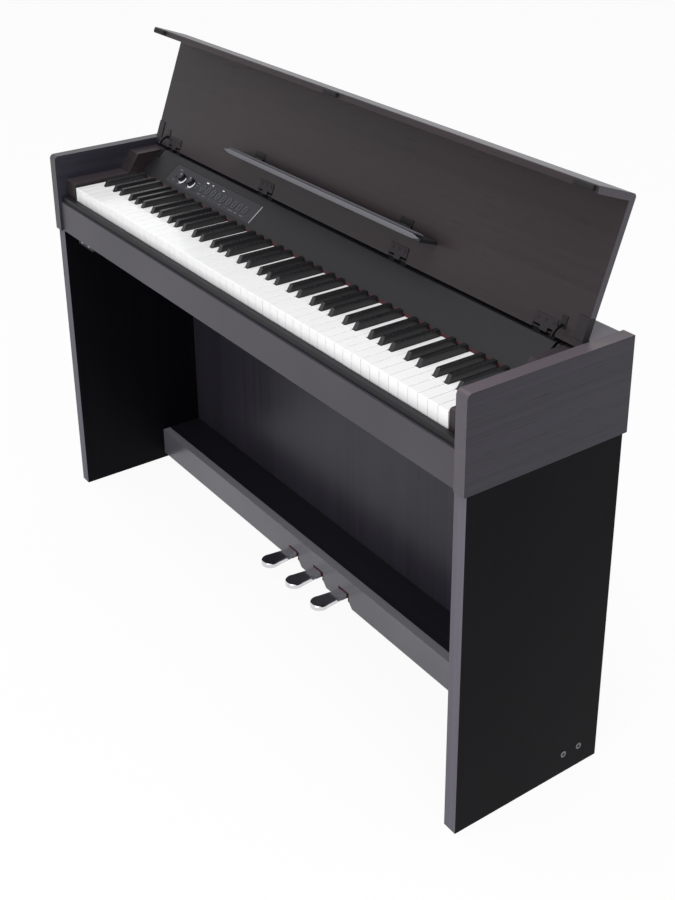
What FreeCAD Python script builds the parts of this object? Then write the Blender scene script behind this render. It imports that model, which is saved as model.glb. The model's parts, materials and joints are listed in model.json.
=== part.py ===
# Digital piano on a cabinet stand: a slim keyboard unit between two arms,
# carried by two side panels, with a lid, a music ledge and three pedals.
# X runs along the keyboard, -Y faces the player, +Z is up. Millimetres.
import FreeCAD
import Part
import math
import os

# ---- cabinet ----
overall_width = 1355.0
cabinet_depth = 325.0
closed_height = 790.0
board = 15.0
arm_thickness = 24.0
arm_height = 164.0
arm_corner_radius = 9.0
side_thickness = 27.0
side_inset = 1.0
side_front_setback = 5.5
side_rear_setback = 8.5
back_thickness = 12.0

# ---- keyboard unit ----
front_board_setback = 5.0
front_board_height = 64.0
slip_setback = 4.5
slip_thickness = 12.0
slip_height = 12.0
key_top_drop = 61.0
key_front_gap = 2.0
key_end_gap = 3.0
block_low_drop = 53.0
block_high_drop = 16.0
block_step_y = -15.0
block_rise_depth = 27.0
top_board_front_y = 89.5
top_board_bevel = 3.5
top_board_bevel_drop = 7.0
cover_thickness = 3.0
cover_lip_y = 14.0
cover_lip_gap = 2.0
cover_crest_y = 73.0

# ---- keys ----
white_count = 52
white_pitch = 23.5
white_gap = 1.0
white_head_length = 52.0
white_skirt = 29.0
white_wall = 2.2
white_top_thickness = 4.0
black_width = 11.0
black_top_width = 9.0
black_rise = 12.0
black_front_slope = 7.0
black_side_gap = 1.0
black_front_gap = 1.7
black_rear_y = 11.0
key_dip = 10.0
key_pivot_y = 58.0
key_pivot_drop = 24.0
key_tail = 8.0
key_hidden_drop = 6.0
pivot_rod_radius = 2.5
running_gap = 0.05
black_after = (0, 2, 3, 5, 6)
black_offset = {0: 0.0, 2: -2.8, 3: 2.8, 5: -4.2, 6: 0.0}
first_black_of_fa_group = 4.2
first_single_white = 23
single_whites = 3

# ---- controls on the sloped cover ----
plate_left_x = -525.0
plate_right_x = -190.0
plate_low = 12.0
plate_high = 58.0
plate_recess = 1.5
plate_thickness = 1.0
control_row = 34.0
power_x = -499.0
power_radius = 4.0
knob_xs = (-474.0, -437.0)
knob_radius = 8.5
knob_height = 9.0
knob_shaft_radius = 3.0
button_count = 9
button_first_x = -391.0
button_pitch = 20.5
button_width = 9.0
button_length = 14.0
button_proud = 1.6
button_travel = 1.2
button_gap = 0.3
stem_depth = 8.0
board_standoff = 10.0
circuit_thickness = 1.6

# ---- lid ----
lid_lean = 20.0
hinge_y = 80.0
hinge_drop = 8.0
lid_thickness = 12.0
lid_inner_offset = 4.0
lid_tail = 2.0
lid_side_gap = 1.5
lid_corner_radius = 6.0
flap_depth = 70.0
cushion_height = 5.5
cushion_length = 40.0
cushion_width = 8.0
cushion_inset = 27.0
hinge_inset = 80.0
inner_hinge_x = 210.0
hinge_width = 48.0
hinge_center_width = 16.0
hinge_side_play = 0.5
hinge_pin_radius = 1.5
hinge_knuckle_radius = 3.3
hinge_leaf_thickness = 1.2
strap_reach = 24.0
bracket_width = 12.0
bracket_reach = 46.0
stay_inset = 46.0
stay_width = 3.0
stay_radius = 20.0
stay_band = 5.0

# ---- music ledge ----
ledge_length = 625.0
ledge_center_x = -17.0
ledge_depth = 39.0
ledge_thickness = 6.0
ledge_low = 49.0
ledge_gap = 1.0
ledge_pin_up = 2.7
ledge_pin_out = 2.5
ledge_pin_radius = 0.9
ledge_knuckle_radius = 2.3
ledge_hinge_xs = (-257.0, 209.0)
ledge_hinge_width = 34.0

# ---- pedals ----
pedal_board_y = 45.0
pedal_board_thickness = 18.0
pedal_board_low = 12.0
pedal_board_top = 75.0
pedal_pitch = 89.0
pedal_top = 41.0
pedal_thickness = 10.0
pedal_head_radius = 19.0
pedal_neck_width = 27.0
pedal_reach = 77.0
pedal_neck_start_y = 26.0
pedal_pivot_y = 104.0
pedal_tail = 9.0
pedal_axle_radius = 3.0
notch_width = 34.0
notch_flare = 12.0
notch_top = 43.0
felt_thickness = 1.5
spring_y = 82.0
spring_radius = 5.5
spring_wire = 1.2
spring_turns = 5
frame_sheet = 2.0
frame_floor = 14.0
bolt_ys = (77.0, 112.0)
bolt_z = 39.0
bolt_head_radius = 6.0
bolt_head_height = 4.0
bolt_shank_radius = 3.0
bolt_length = 45.0
bolt_proud = 0.8

# ---- sound and sockets ----
speaker_x = 430.0
speaker_y = 105.0
speaker_radius = 31.0
speaker_height = 26.0
grille_slots = 5
grille_pitch = 9.0
grille_slot_width = 4.5
jack_box_x = -580.0
jack_box_width = 70.0
jack_box_depth = 60.0
jack_box_height = 20.0
jack_radius = 3.25
jack_pitch = 30.0
jack_bore_length = 30.0
panel_x = -420.0
panel_pitch = 42.0
panel_side_step = 7.0
panel_step = 7.0
panel_height = 36.0
panel_z = 690.0
inlet_radius = 3.25
inlet_bore_length = 12.0
panel_plate = 1.5

# ---- worked out ----
front_y = -cabinet_depth / 2
rear_y = cabinet_depth / 2
arm_low = closed_height - arm_height
arm_inner_x = overall_width / 2 - arm_thickness
side_outer_x = overall_width / 2 - side_inset
side_inner_x = side_outer_x - side_thickness
side_rear_y = rear_y - side_rear_setback
unit_front_y = front_y + front_board_setback
slip_front_y = unit_front_y + slip_setback
slip_rear_y = slip_front_y + slip_thickness
front_board_top = arm_low + front_board_height
slip_top = front_board_top + slip_height
key_front_y = slip_rear_y + key_front_gap
unit_rear_y = side_rear_y
rear_board_front_y = unit_rear_y - board
top_board_low = closed_height - board
keys_half = white_count * white_pitch / 2
block_inner_x = keys_half + key_end_gap
block_low_top = closed_height - block_low_drop
block_high_top = closed_height - block_high_drop
key_top_height = closed_height - key_top_drop
hinge_z = closed_height - hinge_drop
keybed_top = arm_low + board
cover_lip_z = key_top_height + cover_lip_gap
cover_crest_z = top_board_low
slope_run = cover_crest_y - cover_lip_y
slope_rise = cover_crest_z - cover_lip_z
slope_angle = math.atan2(slope_rise, slope_run)
key_pivot_z = key_top_height - key_pivot_drop
key_bottom = key_top_height - white_skirt
lid_length = hinge_y - unit_front_y
lid_half = arm_inner_x - lid_side_gap
hinge_xs = (hinge_inset - lid_half, -inner_hinge_x, inner_hinge_x, lid_half - hinge_inset)
cushion_xs = (cushion_inset - lid_half, 0.0, lid_half - cushion_inset)
stay_x = lid_half - stay_inset
lid_outer_offset = lid_thickness - lid_inner_offset
pedal_pivot_z = pedal_top - pedal_thickness / 2
pedal_xs = (-pedal_pitch, 0.0, pedal_pitch)
shelf_low = pedal_board_top - board
back_front_y = side_rear_y - back_thickness
socket_xs = (panel_x - panel_pitch, panel_x, panel_x + panel_pitch)
x_axis = FreeCAD.Vector(1, 0, 0)
y_axis = FreeCAD.Vector(0, 1, 0)
z_axis = FreeCAD.Vector(0, 0, 1)
origin = FreeCAD.Vector(0, 0, 0)


def span(x0, x1, y0, y1, z0, z1):
    """Box between two corners."""
    return Part.makeBox(x1 - x0, y1 - y0, z1 - z0, FreeCAD.Vector(x0, y0, z0))


def rod(x, y, z, direction, radius, length):
    return Part.makeCylinder(radius, length, FreeCAD.Vector(x, y, z), direction)


def rod_x(x0, x1, y, z, radius):
    return rod(x0, y, z, x_axis, radius, x1 - x0)


def side_profile(points, x0, x1):
    """Prism along X from an outline of (y, z) points."""
    corners = [FreeCAD.Vector(x0, y, z) for y, z in points]
    wire = Part.makePolygon(corners + corners[:1])
    return Part.Face(wire).extrude(FreeCAD.Vector(x1 - x0, 0, 0))


def join(shapes):
    whole = shapes[0]
    if len(shapes) > 1:
        whole = shapes[0].multiFuse(list(shapes[1:])).removeSplitter()
    return whole


def cut(shape, tools):
    return shape.cut(Part.makeCompound(list(tools)))


def mirrored(shape):
    return shape.mirror(origin, x_axis)


def edges_where(shape, test):
    return [e for e in shape.Edges if test(e.BoundBox)]


def moved(shape, x=0.0, y=0.0, z=0.0):
    copy = shape.copy()
    copy.translate(FreeCAD.Vector(x, y, z))
    return copy


def save(name, shapes):
    """Write one named piece, or a group of like pieces."""
    group = shapes if isinstance(shapes, list) else [shapes]
    solids = [s for shape in group for s in shape.Solids]
    whole = solids[0] if len(solids) == 1 else Part.makeCompound(solids)
    whole.exportStep("parts/" + name + ".step")


# ---- placing on the sloped cover and on the lid ----

def on_slope(shape):
    """Local x, y up the slope and z out of it, to the cover's face."""
    copy = shape.copy()
    copy.rotate(origin, x_axis, math.degrees(slope_angle))
    copy.translate(FreeCAD.Vector(0, cover_lip_y, cover_lip_z))
    return copy


def on_lid(shape):
    """Local y to the back and z up the lid from the hinge pin, leaned back."""
    copy = shape.copy()
    copy.rotate(origin, x_axis, -lid_lean)
    copy.translate(FreeCAD.Vector(0, hinge_y, hinge_z))
    return copy


# ---- cabinet boards ----

def make_arm():
    arm = span(arm_inner_x, overall_width / 2, front_y, rear_y, arm_low, closed_height)
    front = front_y + 0.1
    top = closed_height - 0.1
    corner = edges_where(arm, lambda b: b.YMax < front and b.ZMin > top)
    return arm.makeFillet(arm_corner_radius, corner)


def bolt_hole(y):
    through = rod_x(side_inner_x - bolt_length, side_outer_x, y, bolt_z, bolt_shank_radius + 0.2)
    head_start = side_outer_x + bolt_proud - bolt_head_height - 0.2
    head = rod_x(head_start, side_outer_x + bolt_proud, y, bolt_z, bolt_head_radius + 0.2)
    return join([through, head])


def make_side_panel():
    front = front_y + side_front_setback
    panel = span(side_inner_x, side_outer_x, front, side_rear_y, 0, arm_low)
    return cut(panel, [bolt_hole(y) for y in bolt_ys])


def hexagon(x, y, z, across):
    radius = across / math.sqrt(3)
    turns = [math.radians(60 * i) for i in range(6)]
    points = [(y + radius * math.cos(t), z + radius * math.sin(t)) for t in turns]
    return side_profile(points, x, x + bolt_head_height)


def make_bolt(y):
    outer = side_outer_x + bolt_proud
    head = rod_x(outer - bolt_head_height, outer, y, bolt_z, bolt_head_radius)
    shank = rod_x(outer - bolt_length, outer, y, bolt_z, bolt_shank_radius)
    rim = edges_where(head, lambda b: b.XMin > outer - 0.1)
    head = head.makeFillet(0.6, rim)
    return join([head, shank]).cut(hexagon(outer - 2.5, y, bolt_z, 5.0))


def make_pedal_shelf():
    shelf = span(-side_inner_x, side_inner_x, pedal_board_y + pedal_board_thickness,
                 back_front_y, shelf_low, pedal_board_top)
    cleat = span(side_inner_x - 30, side_inner_x, pedal_board_y + pedal_board_thickness,
                 back_front_y, shelf_low - 38, shelf_low)
    holes = [bolt_hole(y) for y in bolt_ys]
    cleat = cut(cleat, holes)
    return join([shelf, cleat, mirrored(cleat)])


def make_back_panel():
    return span(-side_inner_x, side_inner_x, back_front_y, side_rear_y, pedal_board_low, arm_low)


def notch(x, grow, y0, y1):
    half = notch_width / 2 + grow
    knee = pedal_board_low + notch_flare
    points = [(x - half, notch_top + grow), (x - half, knee), (x - half - notch_flare, pedal_board_low - 1),
              (x + half + notch_flare, pedal_board_low - 1), (x + half, knee), (x + half, notch_top + grow)]
    corners = [FreeCAD.Vector(px, y0, pz) for px, pz in points]
    wire = Part.makePolygon(corners + corners[:1])
    return Part.Face(wire).extrude(FreeCAD.Vector(0, y1 - y0, 0))


def make_pedal_board():
    rear = pedal_board_y + pedal_board_thickness
    panel = span(-side_inner_x, side_inner_x, pedal_board_y, rear, pedal_board_low, pedal_board_top)
    return cut(panel, [notch(x, 0, pedal_board_y - 1, rear + 1) for x in pedal_xs])


def make_notch_felt(x):
    rear = pedal_board_y + pedal_board_thickness
    half = notch_width / 2
    low = pedal_board_low + notch_flare
    outer = span(x - half, x + half, pedal_board_y - 0.8, rear, low, notch_top)
    inner = span(x - half + felt_thickness, x + half - felt_thickness, pedal_board_y - 2, rear + 1,
                 low - 1, notch_top - felt_thickness)
    return outer.cut(inner)


# ---- pedals ----

def make_pedal(x):
    tip_center = pedal_board_y - pedal_reach + pedal_head_radius
    half = pedal_neck_width / 2
    tail = pedal_pivot_y + pedal_tail
    low = pedal_top - pedal_thickness
    shoulder = pedal_neck_start_y
    turn = math.radians(20)
    right = FreeCAD.Vector(x + pedal_head_radius * math.cos(turn),
                           tip_center + pedal_head_radius * math.sin(turn), low)
    left = FreeCAD.Vector(2 * x - right.x, right.y, low)
    tip = FreeCAD.Vector(x, tip_center - pedal_head_radius, low)
    neck_right = FreeCAD.Vector(x + half, shoulder, low)
    neck_left = FreeCAD.Vector(x - half, shoulder, low)
    head = Part.Arc(left, tip, right).toShape()
    sides = Part.makePolygon([right, neck_right, FreeCAD.Vector(x + half, tail, low),
                              FreeCAD.Vector(x - half, tail, low), neck_left, left])
    wire = Part.Wire([head] + sides.Edges)
    lever = Part.Face(wire).extrude(FreeCAD.Vector(0, 0, pedal_thickness))
    shoulders = edges_where(lever, lambda b: abs(b.YMax - shoulder) < 0.1 and b.ZLength > 1)
    lever = lever.makeFillet(24.0, shoulders)
    front = pedal_board_y - 4
    rim = edges_where(lever, lambda b: b.ZMin > pedal_top - 0.1 and b.YMin < front)
    lever = lever.makeFillet(3.0, rim)
    bore = rod_x(x - half - 1, x + half + 1, pedal_pivot_y, pedal_pivot_z,
                 pedal_axle_radius + running_gap)
    return lever.cut(bore)


def make_pedal_frame():
    half = pedal_pitch + pedal_neck_width / 2 + 8
    front = pedal_board_y + pedal_board_thickness + 4
    rear = pedal_pivot_y + 16
    floor = span(-half, half, front, rear, frame_floor, frame_floor + frame_sheet)
    wall = span(half - frame_sheet, half, pedal_pivot_y - 14, rear, frame_floor, shelf_low)
    foot = span(half - 16, half, pedal_pivot_y - 14, rear, shelf_low - frame_sheet, shelf_low)
    axle = rod_x(-half, half, pedal_pivot_y, pedal_pivot_z, pedal_axle_radius)
    return join([floor, wall, mirrored(wall), foot, mirrored(foot), axle])


def coil_point(turn, height):
    """Point on the spring's centre line after a number of turns."""
    angle = 2 * math.pi * turn
    rise = height * turn / spring_turns
    return FreeCAD.Vector(spring_radius * math.cos(angle), spring_radius * math.sin(angle), rise)


def make_pedal_spring(x):
    base = frame_floor + frame_sheet + spring_wire / 2
    height = pedal_top - pedal_thickness - base - spring_wire / 2
    steps = spring_turns * 12
    curve = Part.BSplineCurve()
    curve.interpolate([coil_point(i / 12, height) for i in range(steps + 1)])
    start = curve.tangent(curve.FirstParameter)[0]
    section = Part.Wire(Part.makeCircle(spring_wire / 2, coil_point(0, height), start))
    coil = Part.Wire(curve.toShape()).makePipeShell([section], True, False)
    return moved(coil, x, spring_y, base)


# ---- keyboard unit ----

def make_keybed():
    bed = span(-arm_inner_x, arm_inner_x, unit_front_y + board, rear_board_front_y, arm_low, keybed_top)
    slots = []
    for side in (-1, 1):
        for i in range(grille_slots):
            off = (i - (grille_slots - 1) / 2) * grille_pitch
            reach = math.sqrt((speaker_radius - 6) ** 2 - off ** 2)
            x = side * speaker_x + off
            slots.append(span(x - grille_slot_width / 2, x + grille_slot_width / 2,
                              speaker_y - reach, speaker_y + reach, arm_low - 1, keybed_top + 1))
    return cut(bed, slots)


def make_speaker(x):
    rim = rod(x, speaker_y, keybed_top, z_axis, speaker_radius, 4)
    basket = Part.makeCone(speaker_radius - 4, 15, speaker_height - 12,
                           FreeCAD.Vector(x, speaker_y, keybed_top + 4), z_axis)
    magnet = rod(x, speaker_y, keybed_top + speaker_height - 8, z_axis, 20, 8)
    mouth = Part.makeCone(speaker_radius - 7, 11, speaker_height - 13,
                          FreeCAD.Vector(x, speaker_y, keybed_top), z_axis)
    dome = Part.makeSphere(9, FreeCAD.Vector(x, speaker_y, keybed_top + speaker_height - 13))
    return join([join([rim, basket, magnet]).cut(mouth), dome])


def make_front_board():
    return span(-arm_inner_x, arm_inner_x, unit_front_y, unit_front_y + board, arm_low, front_board_top)


def make_key_slip():
    slip = span(-arm_inner_x, arm_inner_x, slip_front_y, slip_rear_y, front_board_top, slip_top)
    return slip.makeFillet(1.5, edges_where(slip, lambda b: b.ZMin > slip_top - 0.1 and b.XLength > 1))


def make_key_block():
    low = front_board_top
    front = slip_rear_y + 0.5
    rise_end = block_step_y + block_rise_depth
    points = [(front, low), (rear_board_front_y, low), (rear_board_front_y, block_high_top),
              (rise_end, block_high_top), (block_step_y, block_low_top), (front, block_low_top)]
    block = side_profile(points, block_inner_x, arm_inner_x)
    nose = edges_where(block, lambda b: b.YMax < front + 0.1 and b.ZMin > block_low_top - 0.1)
    block = block.makeFillet(5.0, nose)
    rim = edges_where(block, lambda b: b.XMax < block_inner_x + 0.1 and b.ZMin > low + 5
                      and b.YMax < rear_board_front_y - 5)
    return block.makeFillet(1.2, rim)


def make_rear_top_board():
    """The front top edge is bevelled to let the lid lean back."""
    points = [(top_board_front_y, top_board_low), (top_board_front_y, closed_height - top_board_bevel_drop),
              (top_board_front_y + top_board_bevel, closed_height), (unit_rear_y, closed_height),
              (unit_rear_y, top_board_low)]
    return side_profile(points, -arm_inner_x, arm_inner_x)


def make_rear_board():
    shell = span(-arm_inner_x, arm_inner_x, rear_board_front_y, unit_rear_y, arm_low, top_board_low)
    half = panel_pitch / 2 - panel_side_step
    low = panel_z - panel_height / 2 + panel_step
    high = panel_z + panel_height / 2 - panel_step
    windows = [span(x - half, x + half, rear_board_front_y - 1, unit_rear_y + 1, low, high)
               for x in socket_xs]
    return cut(shell, windows)


def make_socket_tile(x):
    """One rear socket: a plate outside the rear board and its body in the window."""
    half = panel_pitch / 2
    low = panel_z - panel_height / 2
    high = panel_z + panel_height / 2
    plate = span(x - half, x + half, unit_rear_y, unit_rear_y + panel_plate, low, high)
    body = span(x - half + panel_side_step, x + half - panel_side_step, rear_board_front_y, unit_rear_y,
                low + panel_step, high - panel_step)
    socket = rod(x, unit_rear_y + panel_plate + 1, panel_z, FreeCAD.Vector(0, -1, 0),
                 inlet_radius, inlet_bore_length + 1)
    return join([plate, body]).cut(socket)


def make_socket_block(side):
    """Half of the headphone box, with one socket in its front."""
    front = unit_front_y + board
    inner = jack_box_x
    outer = jack_box_x + side * jack_box_width / 2
    low = arm_low - jack_box_height
    box = span(min(inner, outer), max(inner, outer), front, front + jack_box_depth, low, arm_low)
    corner = edges_where(box, lambda b: b.ZLength > 1 and b.YMax < front + 0.1 and abs(b.XMin - outer) < 0.1)
    box = box.makeFillet(4.0, corner)
    hole = rod(jack_box_x + side * jack_pitch / 2, front - 1, arm_low - jack_box_height / 2, y_axis,
               jack_radius, jack_bore_length + 1)
    return box.cut(hole)


# ---- keys ----

def white_center(i):
    return -keys_half + (i + 0.5) * white_pitch


def has_black_after(i):
    """White key 0 is A; a black key follows A, C, D, F and G."""
    return i % 7 in black_after and i < white_count - 1


def black_center(i):
    return -keys_half + (i + 1) * white_pitch + black_shift(i)


def black_shift(i):
    step = i % 7
    shift = black_offset[step]
    if step == 0:
        shift = first_black_of_fa_group
    return shift


def white_blank(width):
    """Key body with an open underside: thin walls, front skirt, low tail under the cover."""
    tail_end = key_pivot_y + key_tail
    hidden = key_top_height - key_hidden_drop
    half = width / 2
    points = [(key_front_y, key_bottom), (key_front_y, key_top_height), (cover_lip_y - 1, key_top_height),
              (cover_lip_y - 1, hidden), (tail_end, hidden), (tail_end, key_bottom)]
    return side_profile(points, -half, half)


def white_hollow(left, right):
    low = key_bottom - 1
    top = key_top_height - white_top_thickness
    head_end = key_front_y + white_head_length - white_wall
    tail_start = head_end - 1
    half = (white_pitch - white_gap) / 2 - white_wall
    head = span(-half, half, key_front_y + white_wall, head_end, low, top)
    tail = span(left + white_wall, right - white_wall, tail_start, key_pivot_y - 8,
                low, top - key_hidden_drop)
    return [head, tail]


def make_white(i):
    half = (white_pitch - white_gap) / 2
    clear = black_width / 2 + black_side_gap
    left = -half
    right = half
    cuts = []
    head_end = key_front_y + white_head_length
    if has_black_after(i):
        right = white_pitch / 2 + black_shift(i) - clear
        cuts.append(span(right, half + 1, head_end, rear_y, 0, closed_height))
    if i > 0 and has_black_after(i - 1):
        left = -white_pitch / 2 + black_shift(i - 1) + clear
        cuts.append(span(-half - 1, left, head_end, rear_y, 0, closed_height))
    key = cut(white_blank(2 * half), cuts + white_hollow(left, right) + [key_bore(half + 1)])
    top = edges_where(key, lambda b: b.ZMin > key_top_height - 0.1 and b.YMin < head_end - 1)
    return moved(key.makeFillet(0.8, top), white_center(i))


def key_bore(half):
    return rod_x(-half, half, key_pivot_y, key_pivot_z, pivot_rod_radius + running_gap)


def make_black_master():
    front = key_front_y + white_head_length + black_front_gap
    top = key_top_height + black_rise
    hidden = key_top_height - key_hidden_drop
    tail_end = key_pivot_y + key_tail
    side = [(front, key_bottom), (front, key_top_height), (front + black_front_slope, top),
            (black_rear_y, top), (black_rear_y, hidden), (tail_end, hidden), (tail_end, key_bottom)]
    blank = side_profile(side, -black_width / 2, black_width / 2)
    half = black_width / 2
    half_top = black_top_width / 2
    section = [(-half, key_bottom), (half, key_bottom), (half, key_top_height - 3), (half_top, top),
               (-half_top, top), (-half, key_top_height - 3)]
    corners = [FreeCAD.Vector(x, front - 1, z) for x, z in section]
    bar = Part.Face(Part.makePolygon(corners + corners[:1])).extrude(
        FreeCAD.Vector(0, tail_end - front + 2, 0))
    key = blank.common(bar)
    rim = edges_where(key, lambda b: b.ZMax > top - 0.1 and b.ZMin > key_top_height - 2)
    key = key.makeFillet(1.3, rim)
    hollow = span(-half + white_wall, half - white_wall, front + white_wall, key_pivot_y - 8,
                  key_bottom - 1, hidden - 5)
    return key.cut(hollow).cut(key_bore(half + 1))


def make_key_frame():
    half = keys_half + 1.5
    floor = span(-half, half, key_front_y + 1, key_pivot_y + 14, keybed_top, keybed_top + 3)
    front_rail = span(-half, half, key_front_y + 4, key_front_y + 14, keybed_top, key_bottom - key_dip - 4.5)
    rear_rail = span(-half, half, key_pivot_y + 10, key_pivot_y + 14, keybed_top, key_pivot_z - 8)
    cheek = span(half - 1.0, half, key_pivot_y - 7, key_pivot_y + 14, keybed_top, key_pivot_z + 6)
    posts = [key_post(white_center(i)) for i in range(3, white_count, 7)]
    return join([floor, front_rail, rear_rail, cheek, mirrored(cheek)] + posts).cut(pivot_rod(0.0))


def key_post(x):
    return span(x - 3, x + 3, key_pivot_y - 8 - 5, key_pivot_y - 9, keybed_top, key_pivot_z - 4)


def pivot_rod(extra):
    half = keys_half + 1.5
    return rod_x(-half - extra, half + extra, key_pivot_y, key_pivot_z, pivot_rod_radius)


def make_key_felts():
    half = keys_half
    stop_top = key_bottom - key_dip - 0.5
    stop = span(-half, half, key_front_y + 4, key_front_y + 14, stop_top - 4, stop_top)
    name = span(-half, half, cover_lip_y - 1.6, cover_lip_y, cover_lip_z - 1.2, cover_lip_z + 3.5)
    return [stop, name]


# ---- sloped cover and controls ----

def plate_outline(grow, depth_low, depth_high):
    return span(plate_left_x - grow, plate_right_x + grow, plate_low - grow, plate_high + grow,
                depth_low, depth_high)


def oval(x, y, width, length, z0, z1):
    """Upright slot-shaped prism, round at both ends."""
    radius = width / 2
    reach = (length - width) / 2
    middle = span(x - radius, x + radius, y - reach, y + reach, z0, z1)
    ends = [rod(x, y + side * reach, z0, z_axis, radius, z1 - z0) for side in (-1, 1)]
    return join([middle] + ends)


def button_x(i):
    return button_first_x + i * button_pitch


def control_holes(low, high, gap):
    holes = [oval(button_x(i), control_row, button_width + 2 * gap, button_length + 2 * gap, low, high)
             for i in range(button_count)]
    holes.append(rod(power_x, control_row, low, z_axis, power_radius + gap, high - low))
    holes += [rod(x, control_row, low, z_axis, knob_shaft_radius + gap, high - low) for x in knob_xs]
    return holes


def make_cover():
    back = top_board_front_y + 12
    t = cover_thickness
    rise = slope_rise / slope_run
    drop = t * math.sqrt(1 + rise * rise)
    points = [(cover_lip_y, cover_lip_z), (cover_crest_y, cover_crest_z), (back, cover_crest_z),
              (back, cover_crest_z - t), (cover_crest_y + 1, cover_crest_z - t),
              (cover_lip_y + 3, cover_lip_z + 3 * rise - drop), (cover_lip_y, cover_lip_z - 0.6)]
    cover = side_profile(points, -block_inner_x, block_inner_x)
    under = [rod(x, y, -board_standoff, z_axis, 3, board_standoff - 1) for x, y in standoff_places()]
    cover = join([cover] + [on_slope(p) for p in under])
    pocket = [plate_outline(0.2, -plate_recess, 5)] + control_holes(-20, 5, button_gap)
    slots = [stay_slot(side * stay_x) for side in (-1, 1)]
    return cut(cover, [on_slope(p) for p in pocket] + slots)


def standoff_places():
    inset = 6
    xs = (plate_left_x + inset, plate_right_x - inset)
    return [(x, y) for x in xs for y in (plate_low + 4, plate_high - 4)]


def stay_slot(x):
    reach = stay_radius + stay_band / 2 + 2
    return span(x - stay_width / 2 - 1, x + stay_width / 2 + 1, hinge_y - reach, hinge_y + 6,
                cover_lip_z, closed_height)


def make_control_plate():
    plate = plate_outline(0, -plate_recess, plate_thickness - plate_recess)
    return on_slope(cut(plate, control_holes(-20, 5, button_gap)))


def make_button(i):
    x = button_x(i)
    base = plate_thickness - plate_recess
    cap = oval(x, control_row, button_width, button_length, base - 4, base + button_proud)
    rim = edges_where(cap, lambda b: b.ZMin > base + button_proud - 0.1)
    cap = cap.makeFillet(0.7, rim)
    stem = rod(x, control_row, -stem_depth, z_axis, 2, stem_depth - 3)
    return on_slope(join([cap, stem]))


def make_power_button():
    base = plate_thickness - plate_recess
    cap = rod(power_x, control_row, base - 4, z_axis, power_radius, 4 + button_proud)
    cap = cap.makeFillet(0.6, edges_where(cap, lambda b: b.ZMin > base + button_proud - 0.1))
    stem = rod(power_x, control_row, -stem_depth, z_axis, 2, stem_depth - 3)
    return on_slope(join([cap, stem]))


def make_knob(x):
    base = plate_thickness - plate_recess + 0.5
    body = rod(x, control_row, base, z_axis, knob_radius, knob_height)
    body = body.makeFillet(1.0, edges_where(body, lambda b: b.ZMin > base + knob_height - 0.1))
    flutes = []
    for i in range(16):
        turn = math.radians(i * 22.5)
        flutes.append(rod(x + (knob_radius + 0.5) * math.sin(turn),
                          control_row + (knob_radius + 0.5) * math.cos(turn),
                          base + 1.5, z_axis, 1.0, knob_height))
    pointer = span(x - 0.5, x + 0.5, control_row + 3, control_row + knob_radius,
                   base + knob_height - 0.6, base + knob_height + 1)
    shaft = rod(x, control_row, -stem_depth, z_axis, knob_shaft_radius, stem_depth + base + 1)
    return on_slope(join([cut(body, flutes + [pointer]), shaft]))


def make_control_circuit():
    top = -board_standoff
    sheet = span(plate_left_x, plate_right_x, plate_low, plate_high, top - circuit_thickness, top)
    gap = 0.4
    high = -stem_depth - button_travel - gap
    parts = [span(button_x(i) - 3, button_x(i) + 3, control_row - 3, control_row + 3, top - 0.5, top + 0.4)
             for i in range(button_count)]
    parts.append(span(power_x - 3, power_x + 3, control_row - 3, control_row + 3, top - 0.5, high))
    parts += [span(x - 6, x + 6, control_row - 6, control_row + 6, top - 0.5, -stem_depth) for x in knob_xs]
    chips = [span(-330 + 60 * i, -310 + 60 * i, 18, 30, top - circuit_thickness - 2, top - 1) for i in (-2, 0, 2)]
    return on_slope(join([sheet] + parts + chips))


# ---- lid, hinges and ledge ----

def lid_slab(x0, x1, low, high):
    return span(x0, x1, -lid_inner_offset, lid_outer_offset, low, high)


def make_lid_panel():
    slab = lid_slab(-lid_half, lid_half, -lid_tail, lid_length)
    outer = edges_where(slab, lambda b: b.YMin > lid_outer_offset - 0.1 and b.XLength > 1)
    upper = [e for e in outer if e.BoundBox.ZMin > 0]
    slab = slab.makeFillet(lid_corner_radius, upper)
    pockets = [lid_slab(x - hinge_width / 2 - 1, x + hinge_width / 2 + 1, -lid_tail - 1,
                        hinge_knuckle_radius + 2) for x in hinge_xs]
    corner = lid_slab(lid_half - bracket_width, lid_half + 1, -lid_tail - 1, bracket_reach)
    wide = [moved(p, 0, 0, 0).fuse(moved(p, 0, 1, 0)).fuse(moved(p, 0, -1, 0))
            for p in pockets + [corner, mirrored(corner)]]
    return on_lid(cut(slab, wide))


def make_lid_bracket():
    block = lid_slab(lid_half - bracket_width, lid_half, -lid_tail, bracket_reach)
    lip = span(lid_half - bracket_width - 8, lid_half, -lid_inner_offset - 1.6, -lid_inner_offset,
               10, bracket_reach)
    return on_lid(join([block, lip]))


def make_flap():
    inner = -lid_inner_offset
    flap = span(-lid_half, lid_half, inner - flap_depth, inner, lid_length - lid_thickness, lid_length)
    front = edges_where(flap, lambda b: b.YMax < inner - flap_depth + 0.1 and b.XLength > 1)
    return on_lid(flap.makeFillet(1.5, front))


def make_cushion(x):
    edge = -lid_inner_offset - flap_depth
    mid = lid_length - lid_thickness / 2
    pad = span(x - cushion_length / 2, x + cushion_length / 2, edge - cushion_height, edge,
               mid - cushion_width / 2, mid + cushion_width / 2)
    rim = edges_where(pad, lambda b: b.YMax < edge - cushion_height + 0.1)
    return on_lid(pad.makeFillet(2.0, rim))


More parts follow.
